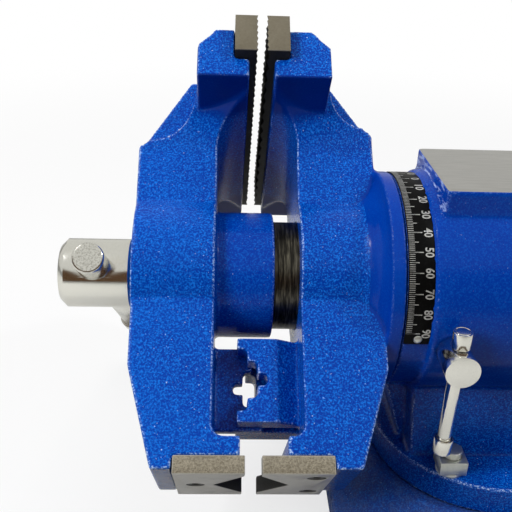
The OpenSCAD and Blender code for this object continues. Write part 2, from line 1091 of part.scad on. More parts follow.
module spindle_collar() {
    color([0.3, 0.3, 0.3])
        in_handle()
            difference() {
                bar_x(keeper_r, keeper_x0, keeper_x0 + keeper_w);
                bar_x(journal_r + play, -far, far);
                translate([keeper_x0 + keeper_w / 2, 0, -far / 2])
                    cylinder(r = pin_r, h = far);
            }
}

module collar_pin() {
    color([0.45, 0.45, 0.45])
        in_handle()
            translate([keeper_x0 + keeper_w / 2, 0, -keeper_r + pin_sunk])
                cylinder(r = pin_r - play, h = 2 * (keeper_r - pin_sunk));
}

module handle_bar() {
    color([0.75, 0.74, 0.7])
        in_handle()
            translate([eye_x, 0, knob_rest + knob_socket - bar_len])
                cylinder(r = handle_r, h = bar_len);
}

// knob with its open end down, at the end of the handle
module handle_knob() {
    rotate_extrude()
        difference() {
            union() {
                square([knob_r, knob_len - knob_round]);
                square([knob_r - knob_round, knob_len]);
                translate([knob_r - knob_round, knob_len - knob_round])
                    circle(r = knob_round);
            }
            translate([-far, -far])
                square([far, 2 * far]);
            square([handle_r, knob_socket]);
        }
}

module handle_knobs() {
    color([0.75, 0.74, 0.7])
        in_handle()
            translate([eye_x, 0, knob_rest]) {
                handle_knob();
                translate([0, 0, 2 * knob_len - handle_len])
                    mirror([0, 0, 1])
                        handle_knob();
            }
}

swivel_base();
body();
pivot_bolt();
pivot_washer();
clamp_bolts();
clamp_washers();
clamp_nut_near();
clamp_nut_far();
angle_scale();
scale_rivets();
head_lock_screw();
lock_bar();
lock_knobs();
clamp_shoe();
static_jaw();
head_retainer();
retainer_bolts();
screw_nut();
nut_key();
rear_jaw_plate();
rear_jaw_screws();
rear_v_plate();
rear_v_screws();
dynamic_jaw();
slide_tube();
front_jaw_plate();
front_jaw_screws();
front_v_plate();
front_v_screw();
spindle();
thrust_washer();
spindle_collar();
collar_pin();
handle_bar();
handle_knobs();
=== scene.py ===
"""Bench vise with a rotating head: castings in blue hammertone, ground jaw plates, plated screws."""
import json
import math

import bmesh
import bpy
import numpy as np
from mathutils import Matrix, Vector

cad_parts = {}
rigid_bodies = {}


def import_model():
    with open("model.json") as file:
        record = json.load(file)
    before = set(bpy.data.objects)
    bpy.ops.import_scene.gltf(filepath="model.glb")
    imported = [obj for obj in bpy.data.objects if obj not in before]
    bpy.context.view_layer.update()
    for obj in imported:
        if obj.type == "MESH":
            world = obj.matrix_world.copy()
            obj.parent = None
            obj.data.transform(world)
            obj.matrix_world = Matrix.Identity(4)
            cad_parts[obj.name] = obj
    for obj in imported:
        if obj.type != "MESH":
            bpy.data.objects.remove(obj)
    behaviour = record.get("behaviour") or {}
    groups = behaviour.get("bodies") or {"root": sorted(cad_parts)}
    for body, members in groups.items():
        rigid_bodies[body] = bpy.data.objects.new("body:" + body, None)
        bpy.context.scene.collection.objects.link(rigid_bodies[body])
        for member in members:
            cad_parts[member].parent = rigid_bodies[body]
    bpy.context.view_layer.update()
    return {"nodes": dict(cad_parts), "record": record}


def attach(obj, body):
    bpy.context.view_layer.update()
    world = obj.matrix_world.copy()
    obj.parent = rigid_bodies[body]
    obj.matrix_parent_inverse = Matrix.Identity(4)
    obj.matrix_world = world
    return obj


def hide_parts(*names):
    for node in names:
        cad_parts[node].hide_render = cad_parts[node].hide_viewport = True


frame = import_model()
nodes = frame["nodes"]
body_of_node = {n: b for b, ns in frame["record"]["behaviour"]["bodies"].items() for n in ns}

# spindle axis at the jaw face line, and the head's lean
JAW_LINE = Vector((-0.133, 0.0, 0.136))
HEAD_LEAN = math.radians(52)

# half width of the jaw plates, half width of the V plates and the level of their lower face in the head
JAW_HALF = 0.076
VEE_HALF = 0.0301
VEE_FACE = -0.1064

# boss round the tube and rim beside the scale, along from the jaw line and out from the spindle axis
BOSS_X = (-0.0225, 0.0080)
BOSS_R = 0.034
RIM_X = (0.0520, 0.0667)
RIM_R = 0.058

# how the hub flares out to the rim: its radius where the flare starts, where that is, and how fast it grows
FLARE_R = 0.0432
FLARE_X = 0.051
FLARE_RISE = 211.0

# how much of the flecks is gone on the boss, on the housing above the neck, and where enamel runs smooth
BOSS_CALM = 0.55
HOUSING_CALM = 0.75
HOUSING_RISE = (-0.055, -0.035)
SMOOTH = 0.9

# undersides of the jaw blocks in the head, where the enamel runs smooth and shade is painted: how far
# across they start, and the levels they lie between
UNDER_V = (0.038, 0.046)
UNDER_W = (0.058, 0.0743)

# angle scale strip: its outer radius, its edge towards the jaws, and its rivets
SCALE_R = 0.0554
SCALE_X0 = JAW_LINE.x + 0.0669
SCALE_RIVET_X = SCALE_X0 + 0.00635
RIVET_ANGLE = 93.2
RIVET_HEAD = (0.0042, 0.0042, 0.0020)

# numbers on the strip: a digit's width, its height, its boldness, and how far in from the edge it starts
DIGIT_WIDE = 0.0023
DIGIT_TALL = 0.0041
DIGIT_BOLD = 0.018
DIGIT_IN = 0.0078

# where marks start from the strip's edge, a mark's thickness, and how far each kind stands off the strip
MARK_IN = 0.0004
MARK_LIFT = 0.00004
MARK_THICK = 0.00006
DIGIT_LIFT = 0.00006
RIVET_LIFT = 0.0001

# anvil flat, its end face, and where that face is free of the housing round the spindle axis
ANVIL_Z = 0.1975
ANVIL_END = -0.0485
CLEAR_R = 0.0575
CLEAR_RISE = 0.040


# finishes


class Wire:
    """An output in a finish's node tree; arithmetic on it adds Math nodes."""

    def __init__(self, finish, socket):
        self.finish = finish
        self.socket = socket

    def maths(self, operation, first, second):
        return self.finish.node("ShaderNodeMath", {"operation": operation}, {0: first, 1: second})

    def __add__(self, other):
        return self.maths("ADD", self, other)

    __radd__ = __add__

    def __mul__(self, other):
        return self.maths("MULTIPLY", self, other)

    __rmul__ = __mul__

    def __sub__(self, other):
        return self.maths("SUBTRACT", self, other)

    def __rsub__(self, other):
        return self.maths("SUBTRACT", other, self)

    def __gt__(self, other):
        return self.maths("GREATER_THAN", self, other)

    def __lt__(self, other):
        return self.maths("LESS_THAN", self, other)

    def most(self, other):
        return self.maths("MAXIMUM", self, other)

    def sine(self):
        return self.maths("SINE", self, 0.0)

    def size(self):
        return self.maths("ABSOLUTE", self, 0.0)


class Finish:
    """A material's or the world's node tree, and the few kinds of node that the finishes are made of."""

    def __init__(self, owner, output="ShaderNodeOutputMaterial"):
        owner.use_nodes = True
        self.owner = owner
        self.tree = owner.node_tree
        self.tree.nodes.clear()
        self.output = self.tree.nodes.new(output)

    def node(self, kind, settings=None, sockets=None, out=0):
        made = self.tree.nodes.new(kind)
        for name, value in (settings or {}).items():
            setattr(made, name, value)
        for key, value in (sockets or {}).items():
            if isinstance(value, Wire):
                self.tree.links.new(value.socket, made.inputs[key])
            else:
                made.inputs[key].default_value = value
        return Wire(self, made.outputs[out])

    def place(self, turn=(0, 0, 0), stretch=(1, 1, 1)):
        here = self.node("ShaderNodeTexCoord", out="Object")
        return self.node("ShaderNodeMapping", None, {"Vector": here, "Rotation": turn, "Scale": stretch})

    def axes(self, place):
        return [self.node("ShaderNodeSeparateXYZ", None, {0: place}, out=i) for i in range(3)]

    def noise(self, place, scale, detail=2.0, roughness=0.5):
        sockets = {"Vector": place, "Scale": scale, "Detail": detail, "Roughness": roughness}
        return self.node("ShaderNodeTexNoise", {"noise_dimensions": "3D"}, sockets)

    def cells(self, place, scale, smoothness=0.6):
        sockets = {"Vector": place, "Scale": scale, "Smoothness": smoothness}
        return self.node("ShaderNodeTexVoronoi", {"feature": "SMOOTH_F1"}, sockets)

    def step(self, value, low, high, start=0.0, end=1.0):
        sockets = {"Value": value, "From Min": low, "From Max": high, "To Min": start, "To Max": end}
        return self.node("ShaderNodeMapRange", {"interpolation_type": "SMOOTHSTEP"}, sockets)

    def mix(self, share, low, high):
        low, high = [c if isinstance(c, Wire) else (*c, 1.0) for c in (low, high)]
        return self.node("ShaderNodeMix", {"data_type": "RGBA"}, {0: share, 6: low, 7: high}, out=2)

    def bump(self, height, strength, distance):
        sockets = {"Strength": strength, "Distance": distance, "Height": height}
        return self.node("ShaderNodeBump", None, sockets)

    def mark(self, name):
        return self.node("ShaderNodeAttribute", {"attribute_name": name}, out="Fac")

    def head_place(self, place):
        """How far across the head and how far up it a point lies, from the spindle axis."""
        _, y, z = self.axes(place)
        rise = z - JAW_LINE.z
        across = math.cos(HEAD_LEAN) * y - math.sin(HEAD_LEAN) * rise
        up = math.sin(HEAD_LEAN) * y + math.cos(HEAD_LEAN) * rise
        return across, up

    def surface(self, shader):
        self.tree.links.new(shader.socket, self.output.inputs["Surface"])
        return self.owner

    def close(self, **sockets):
        named = {k.replace("_", " "): v for k, v in sockets.items()}
        return self.surface(self.node("ShaderNodeBsdfPrincipled", None, named))


def finish(name):
    return Finish(bpy.data.materials.new(name))


def hammertone(name, bare_from=None, dusty=0.0, blocks=False):
    """Glossy blue enamel drawn up into small light flecks, calm where it runs smooth, lighter on the edges
    partly as thinner enamel and partly as a painted highlight, with painted white glints scattered and
    along the edges, and painted shade in hollows and under the jaw blocks.
    """
    f = finish(name)
    place = f.place()
    flecks = f.noise(place, 1120.0, 3.0, 0.62)
    dimples = f.cells(place, 760.0, 0.8)
    drift = f.noise(place, 24.0, 3.0, 0.6)
    sparks = f.noise(f.place(turn=(0.4, 0.9, 0.2)), 1100.0, 1.0)
    edge = f.mark("edge_turn")
    x, y, z = f.axes(place)
    along = x - JAW_LINE.x
    rise = z - JAW_LINE.z
    reach = y * y + rise * rise
    boss = (along > BOSS_X[0]) * (along < BOSS_X[1]) * (reach < BOSS_R * BOSS_R)
    past = along - FLARE_X
    flare = FLARE_R + FLARE_RISE * past * past
    rim = (along > RIM_X[0]) * (along < RIM_X[1]) * (reach < RIM_R * RIM_R) * (reach < flare * flare)
    calm = (BOSS_CALM * boss).most(SMOOTH * rim)
    if bare_from is not None:
        calm = calm.most(f.step(rise, *HOUSING_RISE, 0.0, HOUSING_CALM))
    if blocks:
        across, up = f.head_place(place)
        under = f.step(across.size(), *UNDER_V) * (up > UNDER_W[0])
        under = under * f.step(up, UNDER_W[1], UNDER_W[1] + 0.0006, 1.0, 0.0)
        calm = calm.most(SMOOTH * under)
    lively = 1 - calm
    light = f.step(flecks + 0.10 * drift, 0.48, 0.72) * lively
    colour = f.mix(light, (0.0002, 0.036, 0.33), (0.007, 0.180, 0.73))
    colour = f.mix(f.step(drift, 0.35, 0.75, 0.0, 0.25), colour, (0.001, 0.075, 0.47))
    # painted shade: on the jaw castings the undersides of the blocks are darkened
    if blocks:
        colour = f.mix(0.5 * under, colour, (0.0002, 0.014, 0.17))
    # painted shade: the enamel is darkened in hollows and inner corners
    hollow_shade = f.step(edge, -0.03, -0.12)
    colour = f.mix(hollow_shade * 0.6, colour, (0.0008, 0.016, 0.15))
    ridge = f.step(edge, 0.07, 0.14) * lively
    # lighter on the outer edges: partly thinner enamel, partly a painted highlight
    colour = f.mix(ridge * 0.35, colour, (0.03, 0.20, 0.70))
    # painted highlight: broken white glints along the outer edges, which also carry a clear coat
    edge_highlight_and_coat = ridge * f.step(flecks, 0.50, 0.60, 0.0, 0.8)
    # painted highlight: scattered white sparkles, joined with the edge glints
    painted_glint = (lively * f.step(sparks, 0.74, 0.80, 0.0, 0.8)).most(edge_highlight_and_coat)
    colour = f.mix(painted_glint, colour, (0.55, 0.70, 0.92))
    rough = 0.11 + 0.06 * f.step(drift, 0.3, 0.7) + 0.06 * flecks
    height = (0.65 * flecks + 0.5 * dimples) * lively
    metal = 0.0
    if dusty:
        grime = f.step(f.noise(place, 160.0, 4.0, 0.7), 0.25, 0.75, 0.4 * dusty, dusty)
        colour = f.mix(grime, colour, (0.095, 0.115, 0.140))
        rough = rough + 0.25 * grime
    if bare_from is not None:
        end = (x < ANVIL_END + 0.0006) * (rise > CLEAR_RISE) * (reach > CLEAR_R * CLEAR_R)
        scrape = f.noise(f.place(stretch=(1.0, 0.25, 1.0)), 500.0, 3.0, 0.6)
        colour = f.mix(end * f.step(scrape, 0.50, 0.66, 0.0, 0.7), colour, (0.38, 0.50, 0.86))
        ragged = f.noise(place, 300.0, 4.0, 0.7)
        bare = f.step(z + 0.0002 * ragged, bare_from - 0.00015, bare_from + 0.0001)
        milled = f.noise(f.place(stretch=(0.05, 1.0, 1.0)), 1500.0, 3.0, 0.6)
        steel = f.mix(milled, (0.32, 0.315, 0.30), (0.49, 0.48, 0.46))
        colour = f.mix(bare, colour, steel)
        rough = rough + bare * (0.20 - 0.10 * milled)
        metal = 0.75 * bare
        height = height * (1 - bare) + 0.12 * milled * bare
    normal = f.bump(height, 0.5, 0.00045)
    return f.close(
        Base_Color=colour, Roughness=rough, Metallic=metal, Normal=normal, Specular_IOR_Level=0.14,
        Coat_Weight=edge_highlight_and_coat, Coat_Roughness=0.22)


def ground_steel(name):
    """Hardened jaw steel: black on all but the ends, which are ground to a brownish grey."""
    f = finish(name)
    place = f.place()
    across, _ = f.head_place(place)
    grit = f.noise(place, 900.0, 4.0, 0.7)
    cloud = f.noise(place, 90.0, 4.0, 0.6)
    ground = f.step(across.size(), JAW_HALF - 0.0007, JAW_HALF - 0.0005)
    black = f.mix(cloud, (0.006, 0.006, 0.005), (0.022, 0.020, 0.016))
    taupe = f.mix(grit, (0.125, 0.108, 0.076), (0.215, 0.190, 0.138))
    taupe = f.mix(f.step(cloud, 0.45, 0.75, 0.0, 0.4), taupe, (0.120, 0.103, 0.072))
    colour = f.mix(ground, black, taupe)
    colour = f.mix(f.step(f.mark("edge_turn"), 0.10, 0.4, 0.0, 0.75) * ground, colour, (0.62, 0.60, 0.54))
    rough = 0.46 + 0.14 * cloud - 0.08 * ground
    normal = f.bump(grit + 0.5 * cloud, 0.3, 0.0002)
    return f.close(Base_Color=colour, Roughness=rough, Metallic=0.2, Normal=normal, Specular_IOR_Level=0.25)


def sawn_steel(name):
    """V plate steel: sandy on its sides, smooth and lighter on the face below the arm, partly as ground
    steel and partly as painted light bounced up from the floor, black inside the V.
    """
    f = finish(name)
    place = f.place()
    across, up = f.head_place(place)
    face = f.step(up, VEE_FACE + 0.0001, VEE_FACE + 0.0003, 1.0, 0.0)
    inside = (across.size() < VEE_HALF - 0.0006) * (1 - face)
    grit = f.noise(place, 1100.0, 4.0, 0.75)
    cloud = f.noise(place, 90.0, 3.0, 0.6)
    colour = f.mix(f.step(grit, 0.3, 0.7), (0.140, 0.118, 0.079), (0.380, 0.342, 0.263))
    # painted light: the face below the arm is lightened, partly for its smooth ground finish and partly as
    # light bounced up from the floor
    colour = f.mix(face * 0.85, colour, (0.66, 0.64, 0.60))
    colour = f.mix(f.step(cloud, 0.5, 0.8, 0.0, 0.35), colour, (0.12, 0.105, 0.085))
    colour = f.mix(f.step(f.mark("edge_turn"), 0.10, 0.4, 0.0, 0.6), colour, (0.50, 0.48, 0.43))
    colour = f.mix(inside, colour, (0.008, 0.007, 0.005))
    rough = 0.58 - 0.16 * face - 0.1 * cloud
    normal = f.bump(grit * (1 - 0.85 * face), 0.45, 0.0003)
    return f.close(Base_Color=colour, Roughness=rough, Metallic=0.3, Normal=normal)


def bright_plate(name, grain=0.12):
    """Plated steel, bright with a faint grain and dull specks."""
    f = finish(name)
    place = f.place()
    speck = f.noise(place, 1300.0, 3.0, 0.7)
    cloud = f.noise(place, 70.0, 3.0, 0.6)
    lathe = f.noise(f.place(stretch=(1.0, 0.05, 0.05)), 2200.0, 2.0, 0.6)
    colour = f.mix(f.step(speck, 0.40, 0.68, 0.0, grain), (0.80, 0.79, 0.74), (0.46, 0.45, 0.41))
    colour = f.mix(f.step(cloud, 0.5, 0.75, 0.0, 0.35), colour, (0.72, 0.69, 0.60))
    rough = 0.10 + 0.08 * cloud + 0.06 * lathe
    normal = f.bump(grain * speck + 0.25 * lathe, 0.3, 0.00015)
    return f.close(Base_Color=colour, Roughness=rough, Metallic=1.0, Normal=normal)


def zinc_plate(name):
    """Zinc plated hardware with a dull, faintly green bloom."""
    f = finish(name)
    place = f.place()
    bloom = f.noise(place, 220.0, 4.0, 0.7)
    colour = f.mix(bloom, (0.40, 0.42, 0.38), (0.70, 0.71, 0.66))
    colour = f.mix(f.step(f.mark("edge_turn"), 0.08, 0.4, 0.0, 0.6), colour, (0.82, 0.82, 0.79))
    normal = f.bump(f.noise(place, 1200.0, 3.0), 0.3, 0.00015)
    return f.close(Base_Color=colour, Roughness=0.30 + 0.22 * bloom, Metallic=0.9, Normal=normal)


def black_oxide(name, shine=0.40):
    """Blackened screws and rings, a little brown where handled."""
    f = finish(name)
    place = f.place()
    cloud = f.noise(place, 240.0, 4.0, 0.6)
    colour = f.mix(cloud, (0.010, 0.010, 0.011), (0.045, 0.042, 0.038))
    colour = f.mix(f.step(f.mark("edge_turn"), 0.08, 0.4, 0.0, 0.5), colour, (0.16, 0.15, 0.14))
    normal = f.bump(f.noise(place, 1500.0, 2.0), 0.2, 0.0001)
    return f.close(Base_Color=colour, Roughness=shine + 0.2 * cloud, Metallic=0.55, Normal=normal)


def black_slide(name):
    """Turned tube, blackened, with fine tool rings and rubbed bands round it."""
    f = finish(name)
    place = f.place()
    x, _, _ = f.axes(place)
    rings = (x * 9000.0).sine() * 0.5 + 0.5
    rub = f.noise(f.place(stretch=(1.0, 0.08, 0.08)), 900.0, 3.0, 0.6)
    colour = f.mix(f.step(rub, 0.42, 0.70), (0.024, 0.022, 0.018), (0.170, 0.155, 0.118))
    rough = 0.22 + 0.12 * rub + 0.05 * rings
    normal = f.bump(rings + 0.5 * rub, 0.2, 0.00012)
    return f.close(Base_Color=colour, Roughness=rough, Metallic=0.9, Normal=normal)


def strip_black(name):
    """Black enamel of the angle strip."""
    f = finish(name)
    place = f.place()
    dust = f.noise(place, 800.0, 4.0, 0.7)
    colour = f.mix(f.step(dust, 0.5, 0.8), (0.0025, 0.0025, 0.0025), (0.009, 0.009, 0.009))
    normal = f.bump(dust, 0.15, 0.0001)
    return f.close(Base_Color=colour, Roughness=0.30 + 0.16 * dust, Normal=normal, Specular_IOR_Level=0.06)


def strip_white(name):
    """Bare marks etched through the enamel, a little worn."""
    f = finish(name)
    place = f.place()
    wear = f.noise(place, 500.0, 3.0, 0.7)
    colour = f.mix(f.step(wear, 0.42, 0.70), (0.56, 0.56, 0.54), (0.30, 0.30, 0.285))
    normal = f.bump(wear, 0.1, 0.00005)
    return f.close(Base_Color=colour, Roughness=0.32 + 0.2 * wear, Metallic=0.5, Normal=normal)


def cast_bronze(name):
    """Bronze of the screw nut and the clamp shoe."""
    f = finish(name)
    place = f.place()
    cloud = f.noise(place, 300.0, 4.0, 0.6)
    colour = f.mix(cloud, (0.36, 0.22, 0.07), (0.62, 0.43, 0.17))
    normal = f.bump(cloud, 0.25, 0.0002)
    return f.close(Base_Color=colour, Roughness=0.32 + 0.2 * cloud, Metallic=0.9, Normal=normal)


BLUE = hammertone("blue_hammertone", blocks=True)
BLUE_ANVIL = hammertone("blue_hammertone_anvil", ANVIL_Z - 0.0004)
BLUE_BASE = hammertone("blue_hammertone_base", dusty=0.45)
JAW_STEEL = ground_steel("ground_jaw_steel")
VEE_STEEL = sawn_steel("v_plate_steel")
PLATED = bright_plate("bright_plate")
KNOB = bright_plate("knob_plate", 0.9)
ZINC = zinc_plate("zinc_plate")
OXIDE = black_oxide("black_oxide")
SLIDE = black_slide("black_slide")
STRIP = strip_black("scale_enamel")
MARKS = strip_white("scale_marks")
BRONZE = cast_bronze("bronze")


# pieces made from the solids

# what counts as one point, as one flat face, as an edge to break, and as an edge that shades sharp
SAME_POINT = 2e-6
SAME_FACE = math.radians(0.4)
EDGE_TO_BREAK = math.radians(32)
EDGE_SHARP = math.radians(38)

# the wear that a broken edge carries
EDGE_WEAR = 0.4


def linked(name, mesh, material):
    piece = bpy.data.objects.new(name, mesh)
    bpy.context.scene.collection.objects.link(piece)
    mesh.materials.clear()
    mesh.materials.append(material)
    return piece


def worked_mesh(piece):
    """A plain mesh of what an object looks like with its modifiers or letters worked out."""
    bpy.context.view_layer.update()
    worked = piece.evaluated_get(bpy.context.evaluated_depsgraph_get())
    return bpy.data.meshes.new_from_object(worked)


def settle(piece):
    """Works the piece's modifiers into its mesh."""
    made = worked_mesh(piece)
    piece.modifiers.clear()
    piece.data = made
    return made


def mark_edges(mesh, rounds=2):
    """Stores how far the surface turns at each point: above 0 on outer edges, below 0 in hollows."""
    count = len(mesh.vertices)
    spots = np.empty(count * 3)
    mesh.vertices.foreach_get("co", spots)
    spots = spots.reshape(-1, 3)
    normals = np.empty(count * 3)
    mesh.vertex_normals.foreach_get("vector", normals)
    normals = normals.reshape(-1, 3)
    ends = np.empty(len(mesh.edges) * 2, dtype=np.int64)
    mesh.edges.foreach_get("vertices", ends)
    a, b = ends.reshape(-1, 2).T
    run = spots[b] - spots[a]
    run /= np.maximum(np.linalg.norm(run, axis=1), 1e-9)[:, None]
    near = np.maximum(np.bincount(a, minlength=count) + np.bincount(b, minlength=count), 1)
    fall_a = -(normals[a] * run).sum(1)
    fall_b = (normals[b] * run).sum(1)
    turn = (np.bincount(a, fall_a, count) + np.bincount(b, fall_b, count)) / near
    for _ in range(rounds):
        turn = 0.5 * turn + 0.5 * (np.bincount(a, turn[b], count) + np.bincount(b, turn[a], count)) / near
    store = mesh.attributes.new("edge_turn", "FLOAT", "POINT")
    store.data.foreach_set("value", turn.astype(np.float32))


def solid_copy(node, flat=0.0):
    """A copy of a solid's mesh with its loose triangles joined, and flat faces made whole."""
    mesh = nodes[node].data.copy()
    shell = bmesh.new()
    shell.from_mesh(mesh)
    bmesh.ops.remove_doubles(shell, verts=shell.verts, dist=SAME_POINT)
    if flat:
        bmesh.ops.dissolve_limit(shell, angle_limit=flat, verts=shell.verts, edges=shell.edges)
    shell.to_mesh(mesh)
    shell.free()
    return mesh


def stands_for(piece, node):
    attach(piece, body_of_node[node])
    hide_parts(node)
    return piece


def casting(node, material, skin, rounds, share, lean=0.0):
    """A casting with the soft edges and filled corners that the mould and the enamel leave."""
    mesh = solid_copy(node)
    upright = Matrix.Translation(JAW_LINE) @ Matrix.Rotation(lean, 4, "X") @ Matrix.Translation(-JAW_LINE)
    mesh.transform(upright)
    piece = linked(node + "_casting", mesh, material)
    wrap = piece.modifiers.new("skin", "REMESH")
    wrap.mode = "VOXEL"
    wrap.voxel_size = skin
    soft = piece.modifiers.new("soft", "SMOOTH")
    soft.factor = 0.5
    soft.iterations = rounds
    thin = piece.modifiers.new("thin", "DECIMATE")
    thin.ratio = share
    made = settle(piece)
    made.transform(upright.inverted())
    made.shade_smooth()
    made.materials.clear()
    made.materials.append(material)
    mark_edges(made)
    return stands_for(piece, node)


def machined(node, material, edge):
    """A machined piece with its sharp edges broken by a small bevel, whose faces carry the wear."""
    piece = linked(node + "_turned", solid_copy(node, SAME_FACE), material)
    piece.data.materials.append(material)
    trim = piece.modifiers.new("trim", "BEVEL")
    trim.material = 1
    trim.limit_method = "ANGLE"
    trim.angle_limit = EDGE_TO_BREAK
    trim.width = edge
    trim.segments = 2
    trim.use_clamp_overlap = True
    made = settle(piece)
    made.shade_smooth()
    made.set_sharp_from_angle(angle=EDGE_SHARP)
    broken = np.empty(len(made.polygons), dtype=np.int32)
    made.polygons.foreach_get("material_index", broken)
    store = made.attributes.new("edge_turn", "FLOAT", "FACE")
    store.data.foreach_set("value", EDGE_WEAR * broken)
    made.polygons.foreach_set("material_index", np.zeros_like(broken))
    made.materials.clear()
    made.materials.append(material)
    return stands_for(piece, node)


casting("static_jaw", BLUE, 0.0010, 4, 0.5, HEAD_LEAN)
casting("dynamic_jaw", BLUE, 0.0010, 4, 0.5, HEAD_LEAN)
casting("body", BLUE_ANVIL, 0.0012, 4, 0.5)
casting("swivel_base", BLUE_BASE, 0.0013, 4, 0.5)

for node, material, edge in (
    ("rear_jaw_plate", JAW_STEEL, 0.00035),
    ("front_jaw_plate", JAW_STEEL, 0.00035),
    ("rear_v_plate", VEE_STEEL, 0.0004),
    ("front_v_plate", VEE_STEEL, 0.0004),
    ("spindle", PLATED, 0.0004),
    ("handle_bar", PLATED, 0.0004),
    ("handle_knobs", KNOB, 0.0004),
    ("head_lock_screw", PLATED, 0.0005),
    ("lock_bar", PLATED, 0.0003),
    ("lock_knobs", PLATED, 0.0002),
    ("clamp_nut_near", ZINC, 0.0008),
    ("clamp_nut_far", ZINC, 0.0008),
    ("clamp_bolts", ZINC, 0.0006),
    ("clamp_washers", ZINC, 0.0002),
    ("thrust_washer", ZINC, 0.0002),
    ("slide_tube", SLIDE, 0.0005),
    ("head_retainer", OXIDE, 0.0005),
    ("retainer_bolts", OXIDE, 0.0003),
    ("rear_v_screws", OXIDE, 0.0002),
    ("front_v_screw", OXIDE, 0.0002),
    ("angle_scale", STRIP, 0.00012),
):
    machined(node, material, edge)

for node, material in (
    ("pivot_bolt", OXIDE),
    ("pivot_washer", ZINC),
    ("clamp_shoe", BRONZE),
    ("screw_nut", BRONZE),
    ("nut_key", OXIDE),
    ("rear_jaw_screws", OXIDE),
    ("front_jaw_screws", OXIDE),
    ("spindle_collar", OXIDE),
    ("collar_pin", OXIDE),
):
    nodes[node].data.materials.clear()
    nodes[node].data.materials.append(material)


# marks and rivets that repeat round the scale


class Tree:
    """A geometry tree with named inputs, built in the order that its nodes are added."""

    def __init__(self, name, inputs):
        self.tree = bpy.data.node_groups.new(name, "GeometryNodeTree")
        self.ids = {}
        for label, kind in inputs.items():
            socket = self.tree.interface.new_socket(label, in_out="INPUT", socket_type=kind)
            self.ids[label] = socket.identifier
        self.tree.interface.new_socket("Geometry", in_out="OUTPUT", socket_type="NodeSocketGeometry")
        self.inputs = self.tree.nodes.new("NodeGroupInput")
        self.result = self.tree.nodes.new("NodeGroupOutput")

    def of(self, label):
        return self.inputs.outputs[label]

    def node(self, kind, settings=None, sockets=None):
        made = self.tree.nodes.new(kind)
        for name, value in (settings or {}).items():
            setattr(made, name, value)
        for key, value in (sockets or {}).items():
            if isinstance(value, bpy.types.NodeSocket):
                self.tree.links.new(value, made.inputs[key])
            else:
                made.inputs[key].default_value = value
        return made

    def sum(self, operation, first, second):
        return self.node("ShaderNodeMath", {"operation": operation}, {0: first, 1: second}).outputs[0]

    def close(self, geometry, material):
        real = self.node("GeometryNodeRealizeInstances", None, {0: geometry})
        sockets = {"Geometry": real.outputs[0], "Material": material}
        painted = self.node("GeometryNodeSetMaterial", None, sockets)
        self.tree.links.new(painted.outputs[0], self.result.inputs[0])


def ring_tree():
    """Copies of one small block or dome, spaced by angle round the X axis."""
    tree = Tree("marks_round_axis", {
        "Count": "NodeSocketInt",
        "First": "NodeSocketFloat",
        "Step": "NodeSocketFloat",
        "Size": "NodeSocketVector",
        "Place": "NodeSocketVector",
        "Dome": "NodeSocketBool",
        "Material": "NodeSocketMaterial",
    })
    block = tree.node("GeometryNodeMeshCube", None, {"Size": tree.of("Size")})
    ball = tree.node("GeometryNodeMeshUVSphere", None, {"Segments": 24, "Rings": 14, "Radius": 0.5})
    shaped = tree.node("GeometryNodeTransform", None, {
        "Geometry": ball.outputs[0], "Scale": tree.of("Size")})
    smooth = tree.node("GeometryNodeSetShadeSmooth", None, {"Geometry": shaped.outputs[0]})
    pick = tree.node("GeometryNodeSwitch", {"input_type": "GEOMETRY"}, {
        "Switch": tree.of("Dome"), "False": block.outputs[0], "True": smooth.outputs[0]})
    set_out = tree.node("GeometryNodeTransform", None, {
        "Geometry": pick.outputs[0], "Translation": tree.of("Place")})
    spots = tree.node("GeometryNodeMeshLine", None, {"Count": tree.of("Count"), "Offset": (0, 0, 0)})
    index = tree.node("GeometryNodeInputIndex").outputs[0]
    angle = tree.sum("ADD", tree.of("First"), tree.sum("MULTIPLY", index, tree.of("Step")))
    turn = tree.node("ShaderNodeCombineXYZ", None, {"X": angle})
    copies = tree.node("GeometryNodeInstanceOnPoints", None, {
        "Points": spots.outputs[0], "Instance": set_out.outputs[0], "Rotation": turn.outputs[0]})
    at_axis = tree.node("GeometryNodeTransform", None, {
        "Geometry": copies.outputs[0], "Translation": tuple(JAW_LINE)})
    tree.close(at_axis.outputs[0], tree.of("Material"))
    return tree


RING = ring_tree()


def round_axis(name, **values):
    """A piece made by the ring tree, as a plain mesh."""
    piece = bpy.data.objects.new(name, bpy.data.meshes.new(name))
    bpy.context.scene.collection.objects.link(piece)
    grow = piece.modifiers.new("marks", "NODES")
    grow.node_group = RING.tree
    for label, value in values.items():
        grow[RING.ids[label]] = value
    settle(piece)
    return piece


def graduation(name, step, start, length, width):
    """Marks every few degrees on both sides of the scale's zero."""
    last = 90 // step
    piece = round_axis(
        name,
        Count=2 * last + 1,
        First=math.radians(-last * step),
        Step=math.radians(step),
        Size=(length, width, MARK_THICK),
        Place=(SCALE_X0 - JAW_LINE.x + start + length / 2, 0.0, SCALE_R + MARK_LIFT),
        Dome=False,
        Material=MARKS,
    )
    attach(piece, "turret")
    return piece


graduation("scale_marks_one_degree", 1, MARK_IN, 0.0027, 0.00026)
graduation("scale_marks_five_degrees", 5, MARK_IN, 0.0046, 0.00034)
graduation("scale_marks_ten_degrees", 10, MARK_IN, 0.0066, 0.00040)

rivets = round_axis(
    "scale_rivet_heads",
    Count=2,
    First=math.radians(-RIVET_ANGLE),
    Step=math.radians(2 * RIVET_ANGLE),
    Size=RIVET_HEAD,
    Place=(SCALE_RIVET_X - JAW_LINE.x, 0.0, SCALE_R + RIVET_LIFT),
    Dome=True,
    Material=ZINC,
)
mark_edges(rivets.data, 0)
stands_for(rivets, "scale_rivets")


